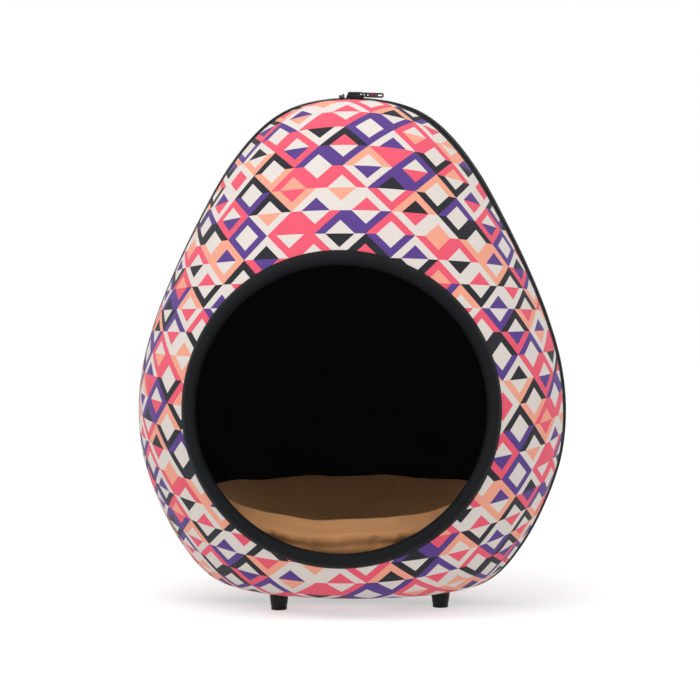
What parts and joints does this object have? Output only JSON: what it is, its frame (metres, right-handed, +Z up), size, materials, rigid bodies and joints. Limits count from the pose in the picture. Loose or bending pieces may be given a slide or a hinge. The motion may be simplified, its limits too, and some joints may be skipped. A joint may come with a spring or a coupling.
{
  "type": "dome pet house",
  "caption": "Egg-shaped pet house of two moulded cloth half shells that meet at a zip, with a round bound mouth, black lining, dished cushion and small feet.",
  "frame": {"origin": "on the floor, under the middle of the whole part", "axes": "+Z up, -Y out of the round mouth, +X to the right for someone who faces the mouth"},
  "size_m": [0.4496, 0.4007, 0.5327],
  "materials": {
    "printed_cloth": "fine woven polyester with a print of small triangles in off-white, coral, peach, purple and charcoal",
    "lining_cloth": "matt black lining cloth",
    "binding_cloth": "black woven binding over padding, slight sheen",
    "zip_cloth": "black woven zip tape and nylon coil",
    "zip_metal": "black painted die-cast metal",
    "foot_plastic": "black moulded plastic",
    "cushion_cloth": "tan brushed cloth over soft filling"
  },
  "bodies": {
    "root": {"front_shell": "printed_cloth", "back_shell": "printed_cloth", "front_lining": "lining_cloth", "back_lining": "lining_cloth", "mouth_binding": "binding_cloth", "zip_tape_front": "zip_cloth", "zip_chain": "zip_cloth", "zip_tape_back": "zip_cloth", "zip_slider": "zip_metal", "zip_pull": "zip_metal", "zip_stop": "zip_metal", "foot_front_left": "foot_plastic", "foot_front_right": "foot_plastic", "foot_back_left": "foot_plastic", "foot_back_right": "foot_plastic", "cushion": "cushion_cloth"}
  },
  "joints": []
}
